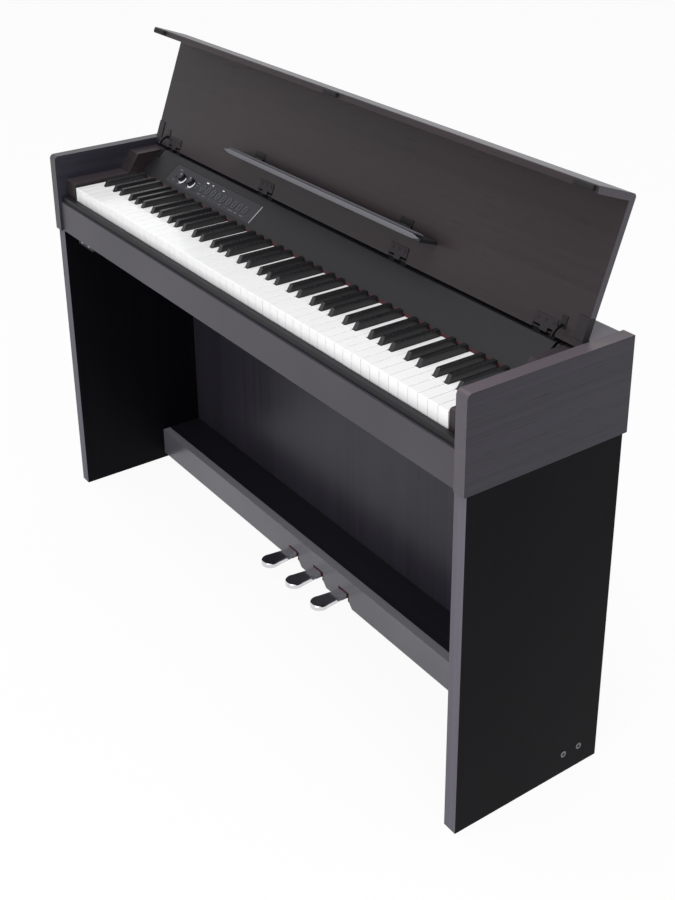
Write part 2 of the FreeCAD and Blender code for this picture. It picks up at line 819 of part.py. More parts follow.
def make_fixed_leaf(x):
    leaf_top = top_board_low + hinge_leaf_thickness
    leaf = span(x - hinge_width / 2, x + hinge_width / 2, hinge_y - 5.5, top_board_front_y - 0.5,
                top_board_low, leaf_top)
    pieces = [leaf, rod_x(x - hinge_width / 2, x + hinge_width / 2, hinge_y, hinge_z, hinge_pin_radius)]
    inner = hinge_center_width / 2 + hinge_side_play
    for x0, x1 in ((x - hinge_width / 2, x - inner), (x + inner, x + hinge_width / 2)):
        pieces.append(rod_x(x0, x1, hinge_y, hinge_z, hinge_knuckle_radius))
        pieces.append(span(x0, x1, hinge_y - 2, hinge_y + 2, top_board_low, hinge_z))
    return join(pieces)


def make_lid_strap(x):
    half = hinge_center_width / 2
    barrel = rod_x(x - half, x + half, 0, 0, hinge_knuckle_radius)
    outer = -lid_inner_offset
    web = span(x - half, x + half, outer - hinge_leaf_thickness, 0, -1.5, 1.5)
    plate = span(x - hinge_width / 2, x + hinge_width / 2, outer - hinge_leaf_thickness, outer,
                 hinge_knuckle_radius + 2.6, strap_reach)
    tongue = span(x - half, x + half, outer - hinge_leaf_thickness, outer, 0, strap_reach)
    bore = rod_x(x - half - 1, x + half + 1, 0, 0, hinge_pin_radius + running_gap)
    screws = [rod(sx, outer - hinge_leaf_thickness - 0.8, strap_reach - 7, y_axis, 2.6, 1.2)
              for sx in (x - 16, x, x + 16)]
    return on_lid(join([barrel, web, plate, tongue] + screws).cut(bore))


def make_stay(x):
    """Quarter ring round the hinge pin, so it swings along itself through its slot."""
    inner = stay_radius - stay_band / 2
    outer = stay_radius + stay_band / 2
    start = 90 + math.degrees(math.asin((lid_inner_offset + 0.0) / inner)) - 4
    disc = Part.makeCylinder(outer, stay_width, FreeCAD.Vector(x - stay_width / 2, 0, 0), x_axis, 78)
    hole = rod_x(x - stay_width, x + stay_width, 0, 0, inner)
    ring = disc.cut(hole)
    ring.rotate(origin, x_axis, ring_start_turn(start))
    foot = span(x - 6, x + 6, -lid_inner_offset - 1.2, -lid_inner_offset, inner - 3, outer + 12)
    body = join([ring, foot])
    beyond = span(x - 20, x + 20, -lid_inner_offset, 60, -60, 60)
    return on_lid(body.cut(beyond))


def ring_start_turn(start):
    """The drum sector starts on a fixed side; turn it to begin at the lid's inner face."""
    probe = Part.makeCylinder(10, 1, origin, x_axis, 10).CenterOfMass
    now = math.degrees(math.atan2(probe.z, probe.y)) - 5
    return start - now


def ledge_pin_place():
    z = ledge_low + ledge_thickness + ledge_pin_up
    y = -lid_inner_offset - ledge_pin_out
    return y, z


def make_ledge():
    x0 = ledge_center_x - ledge_length / 2
    x1 = ledge_center_x + ledge_length / 2
    rear = -lid_inner_offset - ledge_gap
    shelf = span(x0, x1, rear - ledge_depth, rear, ledge_low, ledge_low + ledge_thickness)
    front = edges_where(shelf, lambda b: b.YMax < rear - ledge_depth + 0.1 and b.XLength > 1)
    shelf = shelf.makeFillet(1.5, front)
    y, z = ledge_pin_place()
    pieces = [shelf]
    for x in ledge_hinge_xs:
        half = ledge_hinge_width / 6 - 0.3
        pieces.append(rod_x(x - half, x + half, y, z, ledge_knuckle_radius))
        pieces.append(span(x - half, x + half, y - 1.6, y, ledge_low + ledge_thickness - 0.5, z))
    bores = [rod_x(x - ledge_hinge_width, x + ledge_hinge_width, y, z, ledge_pin_radius + running_gap)
             for x in ledge_hinge_xs]
    return on_lid(cut(join(pieces), bores))


def make_ledge_hinge(x):
    y, z = ledge_pin_place()
    inner = -lid_inner_offset
    half = ledge_hinge_width / 2
    gap = ledge_hinge_width / 6
    leaf = span(x - half, x + half, inner - 0.9, inner, z + ledge_knuckle_radius + 0.2, z + 14)
    pieces = [leaf, rod_x(x - half, x + half, y, z, ledge_pin_radius)]
    for x0, x1 in ((x - half, x - gap), (x + gap, x + half)):
        pieces.append(rod_x(x0, x1, y, z, ledge_knuckle_radius))
        pieces.append(span(x0, x1, inner - 0.9, inner, z - 1, z + ledge_knuckle_radius + 1))
        pieces.append(span(x0, x1, y, inner, z - 0.7, z + 0.7))
    return on_lid(join(pieces))


# ---- write every piece ----

def save_cabinet():
    arm = make_arm()
    save("right_arm", arm)
    save("left_arm", mirrored(arm))
    panel = make_side_panel()
    save("right_side_panel", panel)
    save("left_side_panel", mirrored(panel))
    bolts = [make_bolt(y) for y in bolt_ys]
    save("panel_bolts", bolts + [mirrored(b) for b in bolts])
    save("back_panel", make_back_panel())
    save("pedal_board", make_pedal_board())
    save("pedal_shelf", make_pedal_shelf())


def save_pedals():
    for name, x in zip(("left_pedal", "middle_pedal", "right_pedal"), pedal_xs):
        save(name, make_pedal(x))
    save("pedal_frame", make_pedal_frame())
    save("pedal_springs", [make_pedal_spring(x) for x in pedal_xs])
    save("pedal_felts", [make_notch_felt(x) for x in pedal_xs])


def save_unit():
    save("keybed", make_keybed())
    save("speakers", [make_speaker(side * speaker_x) for side in (-1, 1)])
    save("front_board", make_front_board())
    save("key_slip", make_key_slip())
    block = make_key_block()
    save("right_key_block", block)
    save("left_key_block", mirrored(block))
    save("rear_top_board", make_rear_top_board())
    save("rear_board", make_rear_board())
    save("rear_sockets", [make_socket_tile(x) for x in socket_xs])
    save("headphone_jacks", [make_socket_block(side) for side in (-1, 1)])
    save("control_surface", make_cover())
    save("control_plate", make_control_plate())
    save("control_circuit", make_control_circuit())


def save_controls():
    for i in range(button_count):
        save("function_button_" + str(i + 1), make_button(i))
    save("power_button", make_power_button())
    save("volume_knob", make_knob(knob_xs[0]))
    save("tone_knob", make_knob(knob_xs[1]))


def save_keys():
    whites = [make_white(i) for i in range(white_count)]
    master = make_black_master()
    blacks = {i: moved(master, black_center(i)) for i in range(white_count) if has_black_after(i)}
    last = first_single_white + single_whites
    for name, i in zip("cde", range(first_single_white, last)):
        save("white_key_" + name, whites[i])
    save("black_key_c_sharp", blacks[first_single_white])
    save("black_key_d_sharp", blacks[first_single_white + 1])
    save("white_keys_low", whites[:first_single_white])
    save("white_keys_high", whites[last:])
    save("black_keys_low", [b for i, b in blacks.items() if i < first_single_white])
    save("black_keys_high", [b for i, b in blacks.items() if i > first_single_white + 1])
    save("key_frame", make_key_frame())
    save("key_pivot_rod", pivot_rod(0.0))
    save("key_felts", make_key_felts())


def save_lid():
    save("lid_panel", make_lid_panel())
    bracket = make_lid_bracket()
    save("lid_end_brackets", [bracket, mirrored(bracket)])
    save("lid_flap", make_flap())
    save("lid_cushions", [make_cushion(x) for x in cushion_xs])
    save("hinge_leaves", [make_fixed_leaf(x) for x in hinge_xs])
    save("hinge_straps", [make_lid_strap(x) for x in hinge_xs])
    save("lid_stays", [make_stay(side * stay_x) for side in (-1, 1)])
    save("music_ledge", make_ledge())
    save("ledge_hinges", [make_ledge_hinge(x) for x in ledge_hinge_xs])


os.makedirs("parts", exist_ok=True)
save_cabinet()
save_pedals()
save_unit()
save_controls()
save_keys()
save_lid()
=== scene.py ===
import json
import math

import bmesh
import bpy
import numpy as np
from mathutils import Matrix, Vector


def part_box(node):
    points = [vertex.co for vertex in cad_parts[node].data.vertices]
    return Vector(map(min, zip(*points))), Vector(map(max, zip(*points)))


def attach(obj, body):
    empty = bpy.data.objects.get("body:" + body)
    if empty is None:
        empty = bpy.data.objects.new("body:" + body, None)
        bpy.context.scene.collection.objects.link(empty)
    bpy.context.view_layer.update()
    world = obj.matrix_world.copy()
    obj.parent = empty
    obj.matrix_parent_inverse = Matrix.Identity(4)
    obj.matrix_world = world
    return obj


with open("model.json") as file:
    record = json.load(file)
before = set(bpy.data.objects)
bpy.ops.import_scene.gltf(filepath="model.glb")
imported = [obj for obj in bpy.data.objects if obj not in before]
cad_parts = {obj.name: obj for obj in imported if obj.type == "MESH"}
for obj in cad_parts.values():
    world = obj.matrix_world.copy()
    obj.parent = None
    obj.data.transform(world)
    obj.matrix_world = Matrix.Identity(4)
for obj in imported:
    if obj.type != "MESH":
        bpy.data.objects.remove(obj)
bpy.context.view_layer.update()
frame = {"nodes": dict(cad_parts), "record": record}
nodes = frame["nodes"]
print("frame loaded,", len(nodes), "pieces")


# A socket that can stand in a sum. Each operator adds one Math node to the same finish.
class Term:
    def __init__(self, finish, socket):
        self.finish = finish
        self.socket = socket

    def __add__(self, other):
        return self.finish.sum("ADD", self, other)

    def __radd__(self, other):
        return self.finish.sum("ADD", other, self)

    def __sub__(self, other):
        return self.finish.sum("SUBTRACT", self, other)

    def __rsub__(self, other):
        return self.finish.sum("SUBTRACT", other, self)

    def __mul__(self, other):
        return self.finish.sum("MULTIPLY", self, other)

    def __rmul__(self, other):
        return self.finish.sum("MULTIPLY", other, self)

    def __truediv__(self, other):
        return self.finish.sum("DIVIDE", self, other)

    def floor(self):
        return self.finish.sum("FLOOR", self)

    def size(self):
        return self.finish.sum("ABSOLUTE", self)

    # 0 below low, 1 above high, smooth between
    def ease(self, low, high):
        made = self.finish.node("ShaderNodeMapRange", {"interpolation_type": "SMOOTHSTEP"},
                                {"Value": self, "From Min": low, "From Max": high})
        return Term(self.finish, made.outputs[0])


class Finish:
    def __init__(self, name, tree=None, output="ShaderNodeOutputMaterial"):
        if tree is None:
            self.material = bpy.data.materials.new(name)
            self.material.use_nodes = True
            tree = self.material.node_tree
        self.tree = tree
        self.tree.nodes.clear()
        self.out = self.node(output)

    # one Math node
    def sum(self, operation, first, second=0.0):
        made = self.node("ShaderNodeMath", {"operation": operation}, {0: first, 1: second})
        return Term(self, made.outputs[0])

    # every node is made here: its settings first, then the values or links of its sockets
    def node(self, kind, settings=None, sockets=None):
        made = self.tree.nodes.new(kind)
        for key, value in (settings or {}).items():
            setattr(made, key, value)
        for key, value in (sockets or {}).items():
            if isinstance(value, Term):
                self.tree.links.new(value.socket, made.inputs[key])
            elif isinstance(value, bpy.types.NodeSocket):
                self.tree.links.new(value, made.inputs[key])
            else:
                made.inputs[key].default_value = value
        return made

    def place(self):
        return self.node("ShaderNodeTexCoord").outputs["Object"]

    def axes(self):
        made = self.node("ShaderNodeSeparateXYZ", None, {0: self.place()})
        return [Term(self, o) for o in made.outputs]

    def facing(self):
        normal = self.node("ShaderNodeNewGeometry").outputs["Normal"]
        made = self.node("ShaderNodeSeparateXYZ", None, {0: normal})
        return [Term(self, o) for o in made.outputs]

    # noise on the place stretched by three factors
    def noise(self, stretch, scale=1.0, detail=3.0, rough=0.5, warp=0.0):
        mapped = self.node("ShaderNodeMapping", None, {"Vector": self.place(), "Scale": stretch})
        made = self.node("ShaderNodeTexNoise", None, {"Vector": mapped.outputs[0], "Scale": scale,
                                                      "Detail": detail, "Roughness": rough,
                                                      "Distortion": warp})
        return Term(self, made.outputs["Fac"])

    def blend(self, amount, first, second):
        made = self.node("ShaderNodeMix", {"data_type": "RGBA", "clamp_factor": True},
                         {0: amount, 6: first, 7: second})
        return made.outputs[2]

    def bump(self, height, depth, strength=1.0, normal=None):
        sockets = {"Strength": strength, "Distance": depth, "Height": height}
        if normal is not None:
            sockets["Normal"] = normal
        return self.node("ShaderNodeBump", None, sockets).outputs[0]

    # a rounded look for sawn edges, as wide as radius
    def softEdge(self, radius):
        return self.node("ShaderNodeBevel", {"samples": 4}, {"Radius": radius}).outputs[0]

    # 1 for rays from the camera, from gloss and through glass, 0 for the rest
    def seenWhite(self):
        path = self.node("ShaderNodeLightPath")
        seen = self.sum("MAXIMUM", path.outputs["Is Camera Ray"], path.outputs["Is Glossy Ray"])
        return self.sum("MAXIMUM", seen, path.outputs["Is Transmission Ray"])

    def surface(self, **sockets):
        names = {"color": "Base Color", "rough": "Roughness", "metal": "Metallic", "normal": "Normal",
                 "coat": "Coat Weight", "coatRough": "Coat Roughness", "specular": "Specular IOR Level",
                 "sheen": "Sheen Weight", "sheenRough": "Sheen Roughness", "glow": "Emission Color",
                 "glowStrength": "Emission Strength"}
        made = self.node("ShaderNodeBsdfPrincipled", None, {names[k]: v for k, v in sockets.items()})
        self.tree.links.new(made.outputs[0], self.out.inputs[0])
        return self.material


# a colour given as it should look on screen, 0 to 255
def tone(red, green, blue):
    parts = [((c / 255 + 0.055) / 1.055) ** 2.4 if c > 10.3 else c / 255 / 12.92 for c in (red, green, blue)]
    return tuple(parts + [1.0])


def paint(names, material):
    for name in names:
        mesh = nodes[name].data
        mesh.materials.clear()
        mesh.materials.append(material)


boardLook = {
    "dark": tone(26, 23, 27),
    "light": tone(48, 43, 49),
    "pore": tone(12, 11, 12),
    "edgingAndPaintedLight": tone(92, 88, 96),
    "edgingAndPaintedLightShare": 0.0,
    "edgingAndPaintedLightOn": "front",
    "paintedTopLightShare": 0.0,
    "edgeRadius": 0.0009,
    "poreDepth": 0.0001,
    "roughness": 0.4,
    "specular": 0.3,
}


# streaks are noise stretched along the grain; pores are a finer noise cut to thin dark dashes;
# faces pointing the chosen way, the front by default and the ends when so set, get a lighter edging colour, partly a
# real edging strip and partly painted light falling on those faces; faces pointing up get a lighter top colour, a
# painted highlight
def woodFoil(name, along, look=boardLook, warm=0.0):
    finish = Finish(name)

    def stretch(across, down):
        return tuple(down if axis == along else across for axis in "xyz")

    wide = finish.noise(stretch(7.0, 0.4), 1.0, 2.0, 0.5)
    streak = finish.noise(stretch(110.0, 1.1), 1.0, 5.0, 0.62, 0.12)
    fine = finish.noise(stretch(700.0, 6.0), 1.0, 3.0, 0.6)
    pore = finish.noise(stretch(1000.0, 20.0), 1.0, 2.0, 0.5).ease(0.62, 0.74)
    figure = wide.ease(0.3, 0.7) * 0.3 + streak.ease(0.3, 0.72) * 0.45 + fine * 0.25
    color = finish.blend(figure, look["dark"], look["light"])
    if warm > 0:
        patch = finish.noise((0.9, 0.9, 0.9), 1.0, 2.0, 0.5).ease(0.4, 0.62)
        color = finish.blend(patch * warm, color, look["warm"])
    color = finish.blend(pore * 0.7, color, look["pore"])
    x, y, z = finish.facing()
    # painted highlight: faces pointing up are blended towards the lighter top colour, standing for the light from
    # above
    if look["paintedTopLightShare"] > 0:
        color = finish.blend(z.ease(0.4, 0.9) * look["paintedTopLightShare"], color, look["top"])
    # partly painted light: faces pointing the chosen way are blended towards the lighter edging colour, a real edging
    # strip brightened by painted light falling on those faces
    if look["edgingAndPaintedLightShare"] > 0:
        chosenFacing = x.size() if look["edgingAndPaintedLightOn"] == "ends" else 0 - y
        color = finish.blend(chosenFacing.ease(0.5, 0.9) * (figure * 0.3 + 0.7) * look["edgingAndPaintedLightShare"], color, look["edgingAndPaintedLight"])
    normal = finish.bump(fine * 0.5 - pore, look["poreDepth"], 0.5, finish.softEdge(look["edgeRadius"]))
    rough = streak * 0.12 + pore * 0.14 + look["roughness"] - 0.06
    return finish.surface(color=color, rough=rough, normal=normal, specular=look["specular"])


# side panels: the lighter edging colour on their front faces is partly painted light from the front
sideLook = dict(boardLook, dark=tone(4, 4, 7), light=tone(13, 12, 17), edgingAndPaintedLight=tone(106, 103, 113), edgingAndPaintedLightShare=1.0,
                roughness=0.5, specular=0.06)
# arms: the top colour is a painted highlight on their upward faces, and their front faces get the lighter edging
# colour, partly painted light
armLook = dict(boardLook, dark=tone(34, 32, 41), light=tone(56, 53, 64), edgingAndPaintedLight=tone(84, 79, 87), edgingAndPaintedLightShare=1.0,
               top=tone(92, 84, 90), paintedTopLightShare=0.85, roughness=0.42)
# lid: its upward faces get a lighter top colour, a painted highlight, and its ends get the lighter edging colour,
# partly painted light
lidLook = dict(boardLook, dark=tone(22, 18, 22), light=tone(42, 36, 41), warm=tone(44, 32, 32), roughness=0.42,
               top=tone(84, 82, 91), paintedTopLightShare=0.6, edgingAndPaintedLight=tone(80, 76, 83), edgingAndPaintedLightShare=1.0, edgingAndPaintedLightOn="ends")
paint(["left_side_panel", "right_side_panel"], woodFoil("foilUpright", "z", sideLook))
paint(["right_arm"], woodFoil("foilArm", "y", armLook))
# painted shade: the left arm gets a darker copy of the arm foil, with lower edging and top colours, standing for the
# weaker light on the left
paint(["left_arm"], woodFoil("foilArmLeftPaintedShade", "y", dict(armLook, edgingAndPaintedLight=tone(66, 63, 69), top=tone(66, 64, 70))))
paint(["lid_panel", "lid_flap"], woodFoil("foilLid", "x", lidLook, 0.5))
# rear top board: its upward face is painted lighter, a painted highlight
paint(["rear_top_board"], woodFoil("foilTop", "x", dict(boardLook, top=tone(104, 101, 112), paintedTopLightShare=0.9)))
shelfLook = dict(boardLook, dark=tone(26, 25, 31), light=tone(40, 38, 45))
backLook = dict(boardLook, dark=tone(32, 30, 37), light=tone(50, 48, 57), roughness=0.36, specular=0.2)
paint(["pedal_shelf", "keybed", "rear_board"], woodFoil("foilShelf", "x", shelfLook))
paint(["back_panel"], woodFoil("foilBack", "z", backLook))


# plain satin foil without grain, on the board under the keys and the pedal board; faces pointing up get a lighter top
# colour, a painted highlight
plainLook = {"color": tone(52, 49, 56), "dust": tone(61, 58, 66), "top": tone(60, 58, 65), "roughness": 0.42,
             "edgeRadius": 0.0009}


def plainFoil(name, look):
    finish = Finish(name)
    cloud = finish.noise((3.0, 3.0, 3.0), 1.0, 3.0)
    tooth = finish.noise((1500.0, 1500.0, 1500.0), 1.0, 2.0)
    color = finish.blend(cloud.ease(0.3, 0.7), look["color"], look["dust"])
    # painted highlight: upward faces are blended towards the lighter top colour
    color = finish.blend(finish.facing()[2].ease(0.5, 0.9), color, look["top"])
    normal = finish.bump(tooth, 0.00004, 0.4, finish.softEdge(look["edgeRadius"]))
    return finish.surface(color=color, rough=tooth * 0.1 + look["roughness"] - 0.05, normal=normal, specular=0.35)


paint(["front_board"], plainFoil("foilFront", plainLook))
# the pedal board's very light top colour is painted light on its upward face, lifting it out of the keybed's shadow
paint(["pedal_board"], plainFoil("foilPedalBoard", dict(
    plainLook, color=tone(86, 84, 92), dust=tone(98, 96, 104), top=tone(150, 148, 156), roughness=0.26)))
print("boards finished")


plasticLook = {"color": tone(20, 20, 23), "fleck": tone(30, 30, 34), "roughness": 0.5, "toothScale": 2200.0,
               "toothDepth": 0.00006}


def mouldedPlastic(name, look):
    finish = Finish(name)
    tooth = finish.noise((look["toothScale"],) * 3, 1.0, 2.0, 0.6)
    cloud = finish.noise((14.0, 14.0, 14.0), 1.0, 3.0)
    color = finish.blend(tooth.ease(0.45, 0.75) * 0.5 + cloud * 0.25, look["color"], look["fleck"])
    normal = finish.bump(tooth, look["toothDepth"], 0.6, finish.softEdge(0.0005))
    rough = tooth * 0.12 + cloud * 0.06 + look["roughness"] - 0.09
    return finish.surface(color=color, rough=rough, normal=normal, specular=0.25)


blackNames = ["key_slip", "control_surface", "headphone_jacks", "rear_sockets", "key_frame"]
paint(blackNames, mouldedPlastic("blackMoulding", plasticLook))
# key blocks: their upward faces are painted lighter, a painted highlight
blockLook = dict(boardLook, dark=tone(24, 20, 21), light=tone(50, 43, 46), top=tone(62, 56, 60), paintedTopLightShare=0.6)
paint(["left_key_block", "right_key_block"], woodFoil("foilBlock", "y", blockLook))
paint(["control_plate"], mouldedPlastic("plateMoulding", dict(
    plasticLook, color=tone(34, 34, 39), fleck=tone(44, 44, 50), roughness=0.45)))
controlNames = ["power_button", "volume_knob", "tone_knob"] + ["function_button_%d" % i for i in range(1, 10)]
paint(controlNames, mouldedPlastic("controlMoulding", dict(
    plasticLook, color=tone(28, 28, 31), fleck=tone(42, 42, 46), roughness=0.34)))
paint(["music_ledge"], mouldedPlastic("ledgeMoulding", dict(
    plasticLook, color=tone(34, 34, 38), fleck=tone(46, 46, 51))))
paint(["lid_end_brackets", "hinge_straps"],
      mouldedPlastic("strapPaint", dict(plasticLook, color=tone(33, 29, 33), fleck=tone(42, 38, 42))))
paint(["speakers"], mouldedPlastic("speakerPaper", dict(
    plasticLook, color=tone(9, 9, 10), fleck=tone(15, 15, 16), roughness=0.85)))
paint(["lid_cushions"], mouldedPlastic("cushionRubber", dict(
    plasticLook, color=tone(26, 26, 27), roughness=0.75)))

keyLook = {"white": tone(246, 246, 247), "cream": tone(240, 240, 239), "pitch": 0.0235, "halfCount": 26.0}


# each key has its own faint shade: a random number from which key the point is on
def whiteKeyPlastic():
    finish = Finish("whiteKeyPlastic")
    x = finish.axes()[0]
    number = (x / keyLook["pitch"] + keyLook["halfCount"]).floor()
    shade = finish.node("ShaderNodeTexWhiteNoise", {"noise_dimensions": "1D"}, {"W": number})
    color = finish.blend(Term(finish, shade.outputs["Value"]) * 0.6, keyLook["white"], keyLook["cream"])
    tooth = finish.noise((260.0, 60.0, 260.0), 1.0, 3.0)
    normal = finish.bump(tooth, 0.00002, 0.2, finish.softEdge(0.0004))
    return finish.surface(color=color, rough=tooth * 0.08 + 0.14, normal=normal, coat=0.25, coatRough=0.08)


whiteNames = [n for n in nodes if n.startswith("white_key")]
blackKeyNames = [n for n in nodes if n.startswith("black_key")]
paint(whiteNames, whiteKeyPlastic())


# matt sides, and a top polished by fingers
def blackKeyPlastic():
    finish = Finish("blackKeyPlastic")
    up = finish.facing()[2].ease(0.4, 0.95)
    grain = finish.noise((1100.0, 240.0, 1100.0), 1.0, 3.0, 0.6)
    color = finish.blend(grain.ease(0.35, 0.75), tone(20, 20, 22), tone(34, 34, 37))
    normal = finish.bump(grain, 0.00004, 0.4, finish.softEdge(0.0006))
    return finish.surface(color=color, rough=grain * 0.1 + 0.28 - up * 0.06, normal=normal)


paint(blackKeyNames, blackKeyPlastic())


# felt: short crossing fibres from two stretched noises, with a soft nap
def redFelt():
    finish = Finish("redFelt")
    fibre = finish.noise((900.0, 3200.0, 1500.0), 1.0, 4.0, 0.7, 1.2)
    cross = finish.noise((3200.0, 900.0, 2000.0), 1.0, 4.0, 0.7, 1.2)
    nap = fibre * 0.5 + cross * 0.5
    color = finish.blend(nap.ease(0.3, 0.7), tone(38, 0, 8), tone(84, 7, 22))
    normal = finish.bump(nap, 0.0003, 0.8)
    return finish.surface(color=color, rough=nap * 0.15 + 0.8, normal=normal, sheen=0.08, sheenRough=0.5)


paint(["key_felts", "pedal_felts"], redFelt())


# fine rubbed lines along one direction over a polished or brushed metal
def metal(name, color, rough, stretch, depth):
    finish = Finish(name)
    line = finish.noise(stretch, 1.0, 4.0, 0.65)
    cloud = finish.noise((30.0, 30.0, 30.0), 1.0, 3.0)
    shade = finish.blend(cloud.ease(0.3, 0.7) * 0.5, color, tuple(0.8 * c for c in color[:3]) + (1.0,))
    normal = finish.bump(line, depth, 0.3, finish.softEdge(0.0006))
    worn = line * rough * 0.6 + cloud * 0.03 + rough * 0.6
    return finish.surface(color=shade, rough=worn, normal=normal, metal=1.0)


paint(["left_pedal", "middle_pedal", "right_pedal"],
      metal("pedalChrome", (0.72, 0.72, 0.74, 1), 0.1, (900, 40, 900), 0.00001))
paint(["key_pivot_rod", "pedal_frame", "pedal_springs"],
      metal("brushedSteel", (0.42, 0.42, 0.44, 1), 0.32, (60, 900, 900), 0.00003))
paint(["panel_bolts"], metal("boltSteel", (0.16, 0.16, 0.17, 1), 0.4, (60, 900, 900), 0.00003))
paint(["hinge_leaves", "ledge_hinges", "lid_stays"],
      mouldedPlastic("hingePaint", dict(plasticLook, color=tone(14, 14, 16), fleck=tone(24, 24, 27), roughness=0.38)))


# copper tracks as a grid of thin lines under green lacquer
def circuitLacquer():
    finish = Finish("circuitLacquer")
    x = finish.axes()[0]
    spread = finish.noise((60.0, 60.0, 60.0), 1.0, 1.0)
    lane = ((x * 220 + spread * 2.5) - (x * 220 + spread * 2.5).floor()).ease(0.72, 0.8)
    color = finish.blend(lane * 0.7, tone(18, 66, 40), tone(52, 112, 66))
    normal = finish.bump(lane, 0.00004, 0.5)
    return finish.surface(color=color, rough=spread * 0.1 + 0.3, normal=normal, coat=0.4, coatRough=0.2)


paint(["control_circuit"], circuitLacquer())
print("plastics, felts and metals finished")


joints = {j["name"]: j for j in frame["record"]["behaviour"]["joints"]}


# a mesh object at the origin; doubled points at poles are merged and faces turned outwards
def newPiece(name, points, faces, body, material, slotName):
    mesh = bpy.data.meshes.new(name)
    mesh.from_pydata(points.tolist(), [], [list(f) for f in faces])
    shape = bmesh.new()
    shape.from_mesh(mesh)
    bmesh.ops.remove_doubles(shape, verts=shape.verts, dist=1e-7)
    bmesh.ops.recalc_face_normals(shape, faces=shape.faces)
    shape.to_mesh(mesh)
    shape.free()
    mesh.materials.append(material)
    made = bpy.data.objects.new(name, mesh)
    bpy.context.scene.collection.objects.link(made)
    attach(made, body)


# quads of a grid whose rows close on themselves; its columns close too, or end in two flat caps
def gridFaces(rows, columns, closed=True, first=0):
    i, j = np.meshgrid(np.arange(rows), np.arange(columns if closed else columns - 1), indexing="ij")
    up, on = (i + 1) % rows, (j + 1) % columns
    quads = np.stack([i * columns + j, i * columns + on, up * columns + on, up * columns + j], -1).reshape(-1, 4)
    caps = [] if closed else [np.arange(rows) * columns, np.arange(rows) * columns + columns - 1]
    return [(face + first).tolist() for face in quads] + [(cap + first).tolist() for cap in caps]


# several shapes of one grid in one mesh
def joined(shapes, rows, columns, closed=True):
    size = rows * columns
    faces = [face for n in range(len(shapes)) for face in gridFaces(rows, columns, closed, n * size)]
    return np.concatenate(shapes), faces


# the cover's own directions: along the keyboard, up the slope and out of it
outward = -np.array(joints["function_button_1_press"]["axis"], float)
outward /= np.linalg.norm(outward)
along = np.array([1.0, 0.0, 0.0])
upSlope = np.cross(outward, along)


def pointsOf(name):
    mesh = nodes[name].data
    points = np.empty(len(mesh.vertices) * 3)
    mesh.vertices.foreach_get("co", points)
    return points.reshape(-1, 3)


platePoints = pointsOf("control_plate")
plateLevel = (platePoints @ outward).max()
plateUp = (platePoints @ upSlope).min(), (platePoints @ upSlope).max()


def onPlate(x, up, out):
    return x[..., None] * along + up[..., None] * upSlope + (plateLevel + out)[..., None] * outward


def centerOf(name):
    low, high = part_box(name)
    middle = (np.array(low) + np.array(high)) / 2
    return middle[0], middle @ upSlope


# ink is a printed colour and bright is printed too, also used for painted highlights; collar is the pale grey of the
# button collars, a painted highlight on the button rims
markLook = {"ink": tone(112, 114, 121), "bright": tone(228, 230, 235), "collar": tone(104, 106, 112),
            "thick": 0.00006, "sunk": 0.00002, "collarHalfWidth": 0.0050, "collarHalfLength": 0.0075,
            "collarWall": 0.0009, "collarHeight": 0.0014, "collarEdge": 0.0002}


# a finish for printed marks, also used for painted highlights and for the pale collars
def inkAndHighlightFinish(name, color):
    finish = Finish(name)
    wear = finish.noise((1800.0, 1800.0, 1800.0), 1.0, 2.0)
    shade = finish.blend(wear.ease(0.35, 0.8) * 0.35, color, tuple(0.6 * c for c in color[:3]) + (1.0,))
    return finish.surface(color=shade, rough=wear * 0.15 + 0.45, specular=0.2)


ink = inkAndHighlightFinish("plateInk", markLook["ink"])
# bright ink for printed marks, also used for painted highlights
brightInkAndHighlight = inkAndHighlightFinish("brightInkAndHighlight", markLook["bright"])
collarPaintedHighlight = inkAndHighlightFinish("collarPaintedHighlight", markLook["collar"])
buttonPlaces = [centerOf("function_button_%d" % i) for i in range(1, 10)]
knobPlaces = [centerOf("volume_knob"), centerOf("tone_knob")]


# a collar: a small section with bevelled top corners, carried round an ellipse
def collar(x, up, columns=48):
    t = 2 * math.pi * np.arange(columns) / columns
    wall, top, edge = markLook["collarWall"], markLook["collarHeight"], markLook["collarEdge"]
    section = [(0, -markLook["sunk"]), (wall, -markLook["sunk"]), (wall, top - edge), (wall - edge, top),
               (edge, top), (0, top - edge)]
    return np.concatenate([onPlate(x + (markLook["collarHalfWidth"] + w) * np.cos(t),
                                   up + (markLook["collarHalfLength"] + w) * np.sin(t), np.full(columns, out))
                           for w, out in section])


# the collars are a pale grey that stands in for the highlights on the button rims
newPiece("buttonCollars", *joined([collar(x, up) for x, up in buttonPlaces], 6, 48), "cabinet", collarPaintedHighlight,
         "control_plastic")


# dashes: flat blocks, each given by its middle, half width and half height, at a level above the plate
def dashes(name, rows, material, body="cabinet", level=0.0):
    rows = np.array(rows)
    across = np.array([-1, 1, 1, -1, -1, 1, 1, -1])
    upward = np.array([-1, -1, 1, 1, -1, -1, 1, 1])
    x = rows[:, 0:1] + across * rows[:, 2:3]
    up = rows[:, 1:2] + upward * rows[:, 3:4]
    out = level + np.where(np.arange(8) > 3, markLook["thick"], -markLook["sunk"]) + 0 * x
    block = np.array([[0, 3, 2, 1], [4, 5, 6, 7], [0, 1, 5, 4], [1, 2, 6, 5], [2, 3, 7, 6], [3, 0, 4, 7]])
    faces = (block[None] + 8 * np.arange(len(rows))[:, None, None]).reshape(-1, 4)
    newPiece(name, onPlate(x, up, out).reshape(-1, 3), faces.tolist(), body, material, "control_plastic")


